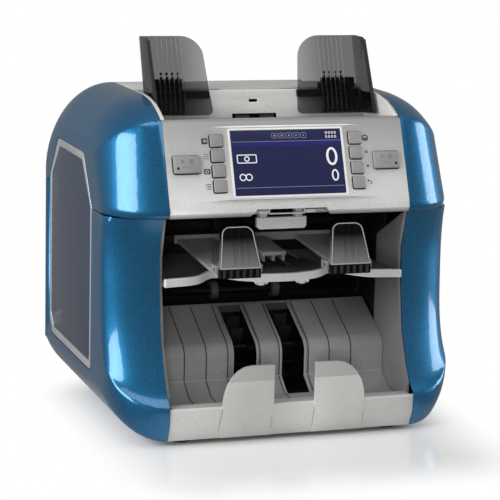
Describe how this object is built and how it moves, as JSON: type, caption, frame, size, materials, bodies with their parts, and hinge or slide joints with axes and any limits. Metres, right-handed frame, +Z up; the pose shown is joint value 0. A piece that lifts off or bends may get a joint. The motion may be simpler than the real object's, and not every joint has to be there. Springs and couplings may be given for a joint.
{
  "type": "banknote counting machine",
  "caption": "Desktop banknote counter with a top hopper, tilted control panel with display and keys, an upper reject pocket and a lower stacker pocket with finned wheels.",
  "frame": {"origin": "on the surface it stands on, under the middle of the whole machine", "axes": "+X to the machine's right seen from the front, front faces -Y, +Z up"},
  "size_m": [0.3, 0.28, 0.3196],
  "materials": {
    "blue_gloss": "metallic flake blue, glossy",
    "silver_trim": "satin silver",
    "slate_panel": "slate blue, satin",
    "silver_plastic": "fine-grained silver grey",
    "pocket_grey": "matt mid grey",
    "light_grey": "satin light grey",
    "black_plastic": "matt black",
    "smoke_clear": "clear smoked acrylic",
    "display_glass": "glossy dark window",
    "circuit": "green circuit board",
    "key_grey": "satin grey",
    "steel": "plain sheet and shaft steel",
    "roller_rubber": "dark rubber",
    "motor_metal": "dark painted can"
  },
  "bodies": {
    "base_unit": {"base_plate": "steel", "rubber_feet": "roller_rubber", "side_frames": "steel", "left_lower_cover": "blue_gloss", "right_lower_cover": "blue_gloss", "side_trims": "silver_trim", "side_panels": "slate_panel", "front_plate": "silver_plastic", "stacker_plate": "pocket_grey", "pocket_cheeks": "pocket_grey", "reject_shelf": "pocket_grey", "shelf_lip": "light_grey", "note_arms": "pocket_grey", "transport_wall": "black_plastic", "rear_cover": "black_plastic", "rear_sockets": "black_plastic", "main_board": "circuit", "main_motor": "motor_metal", "shaft_bearings": "steel", "drive_belts": "roller_rubber", "hinge_pins": "steel", "cover_screws": "steel"},
    "stacker_drive": {"stacker_shaft": "steel", "stacker_wheels": "black_plastic"},
    "motor_drive": {"motor_pulley": "steel"},
    "exit_drive": {"exit_rollers": "steel"},
    "reject_drive": {"reject_wheels": "roller_rubber"},
    "diverter": {"diverter_gate": "black_plastic"},
    "left_stop": {"left_stopper": "smoke_clear"},
    "right_stop": {"right_stopper": "smoke_clear"},
    "power_rocker": {"power_switch": "black_plastic"},
    "upper_unit": {"control_panel": "silver_plastic", "hopper_tray": "silver_plastic", "top_cover": "silver_plastic", "left_upper_cover": "blue_gloss", "right_upper_cover": "blue_gloss", "display_window": "display_glass", "display_module": "circuit", "guide_rod": "steel", "feed_frame": "steel", "feed_motor": "motor_metal", "feed_belt": "roller_rubber"},
    "feed_drive": {"feed_rollers": "roller_rubber"},
    "pickup_drive": {"pickup_rollers": "roller_rubber"},
    "latch": {"latch_handle": "light_grey"},
    "left_guide_unit": {"left_guide": "smoke_clear", "left_carriage": "black_plastic"},
    "right_guide_unit": {"right_guide": "smoke_clear", "right_carriage": "black_plastic"},
    "pinion": {"guide_pinion": "black_plastic"},
    "key_1": {"function_key_1": "key_grey"},
    "key_2": {"function_key_2": "key_grey"},
    "key_3": {"function_key_3": "key_grey"},
    "key_4": {"function_key_4": "key_grey"},
    "key_5": {"function_key_5": "key_grey"},
    "key_6": {"function_key_6": "key_grey"},
    "key_7": {"function_key_7": "key_grey"},
    "key_8": {"function_key_8": "key_grey"},
    "start_left": {"start_key_left": "key_grey"},
    "start_right": {"start_key_right": "key_grey"}
  },
  "joints": [
    {"name": "upper_unit_lift", "type": "hinge", "parent": "base_unit", "child": "upper_unit", "pos_m": [0, 0.136, 0.1835], "axis": [-1, 0, 0], "range_deg": [0, 50]},
    {"name": "stacker_spin", "type": "hinge", "parent": "base_unit", "child": "stacker_drive", "pos_m": [0, -0.026, 0.051], "axis": [1, 0, 0], "continuous": true},
    {"name": "motor_spin", "type": "hinge", "parent": "base_unit", "child": "motor_drive", "pos_m": [0, 0.062, 0.045], "axis": [1, 0, 0], "continuous": true},
    {"name": "exit_spin", "type": "hinge", "parent": "base_unit", "child": "exit_drive", "pos_m": [0, -0.00088, 0.09824], "axis": [1, 0, 0], "continuous": true},
    {"name": "reject_spin", "type": "hinge", "parent": "base_unit", "child": "reject_drive", "pos_m": [0, -0.007, 0.158], "axis": [1, 0, 0], "continuous": true},
    {"name": "diverter_tilt", "type": "hinge", "parent": "base_unit", "child": "diverter", "pos_m": [0, 0.03, 0.15], "axis": [1, 0, 0], "range_deg": [-12, 12], "stiffness_Nm_per_rad": 0.3},
    {"name": "left_stop_tilt", "type": "hinge", "parent": "base_unit", "child": "left_stop", "pos_m": [0, -0.126, 0.143], "axis": [1, 0, 0], "range_deg": [0, 70]},
    {"name": "right_stop_tilt", "type": "hinge", "parent": "base_unit", "child": "right_stop", "pos_m": [0, -0.126, 0.143], "axis": [1, 0, 0], "range_deg": [0, 70]},
    {"name": "power_rock", "type": "hinge", "parent": "base_unit", "child": "power_rocker", "pos_m": [0.044, 0.1305, 0.05], "axis": [1, 0, 0], "range_deg": [-8, 8]},
    {"name": "feed_spin", "type": "hinge", "parent": "upper_unit", "child": "feed_drive", "pos_m": [0, -0.036, 0.224], "axis": [1, 0, 0], "continuous": true},
    {"name": "pickup_spin", "type": "hinge", "parent": "upper_unit", "child": "pickup_drive", "pos_m": [0, -0.01532, 0.24349], "axis": [1, 0, 0], "continuous": true},
    {"name": "latch_swing", "type": "hinge", "parent": "upper_unit", "child": "latch", "pos_m": [0, -0.09, 0.192], "axis": [-1, 0, 0], "range_deg": [0, 20], "stiffness_Nm_per_rad": 0.2},
    {"name": "left_guide_slide", "type": "slide", "parent": "upper_unit", "child": "left_guide_unit", "axis": [1, 0, 0], "range_m": [0, 0.034]},
    {"name": "right_guide_slide", "type": "slide", "parent": "upper_unit", "child": "right_guide_unit", "axis": [-1, 0, 0], "range_m": [0, 0.034]},
    {"name": "pinion_turn", "type": "hinge", "parent": "upper_unit", "child": "pinion", "pos_m": [0, 0.021, 0.25964], "axis": [0, 0, 1], "range_deg": [-10, 340]},
    {"name": "key_1_press", "type": "slide", "parent": "upper_unit", "child": "key_1", "axis": [0, 0.9245, -0.3811], "range_m": [0, 0.0012], "stiffness_N_per_m": 800},
    {"name": "key_2_press", "type": "slide", "parent": "upper_unit", "child": "key_2", "axis": [0, 0.9245, -0.3811], "range_m": [0, 0.0012], "stiffness_N_per_m": 800},
    {"name": "key_3_press", "type": "slide", "parent": "upper_unit", "child": "key_3", "axis": [0, 0.9245, -0.3811], "range_m": [0, 0.0012], "stiffness_N_per_m": 800},
    {"name": "key_4_press", "type": "slide", "parent": "upper_unit", "child": "key_4", "axis": [0, 0.9245, -0.3811], "range_m": [0, 0.0012], "stiffness_N_per_m": 800},
    {"name": "key_5_press", "type": "slide", "parent": "upper_unit", "child": "key_5", "axis": [0, 0.9245, -0.3811], "range_m": [0, 0.0012], "stiffness_N_per_m": 800},
    {"name": "key_6_press", "type": "slide", "parent": "upper_unit", "child": "key_6", "axis": [0, 0.9245, -0.3811], "range_m": [0, 0.0012], "stiffness_N_per_m": 800},
    {"name": "key_7_press", "type": "slide", "parent": "upper_unit", "child": "key_7", "axis": [0, 0.9245, -0.3811], "range_m": [0, 0.0012], "stiffness_N_per_m": 800},
    {"name": "key_8_press", "type": "slide", "parent": "upper_unit", "child": "key_8", "axis": [0, 0.9245, -0.3811], "range_m": [0, 0.0012], "stiffness_N_per_m": 800},
    {"name": "start_left_press", "type": "slide", "parent": "upper_unit", "child": "start_left", "axis": [0, 0.9245, -0.3811], "range_m": [0, 0.0012], "stiffness_N_per_m": 900},
    {"name": "start_right_press", "type": "slide", "parent": "upper_unit", "child": "start_right", "axis": [0, 0.9245, -0.3811], "range_m": [0, 0.0012], "stiffness_N_per_m": 900}
  ],
  "couplings": [
    {"joint": "motor_spin", "follows": "stacker_spin", "ratio": 2},
    {"joint": "exit_spin", "follows": "stacker_spin", "ratio": -1.675},
    {"joint": "reject_spin", "follows": "stacker_spin", "ratio": -1.675},
    {"joint": "pickup_spin", "follows": "feed_spin", "ratio": 1},
    {"joint": "right_guide_slide", "follows": "left_guide_slide", "ratio": 1},
    {"joint": "pinion_turn", "follows": "left_guide_slide", "rad_per_m": 166.67}
  ]
}
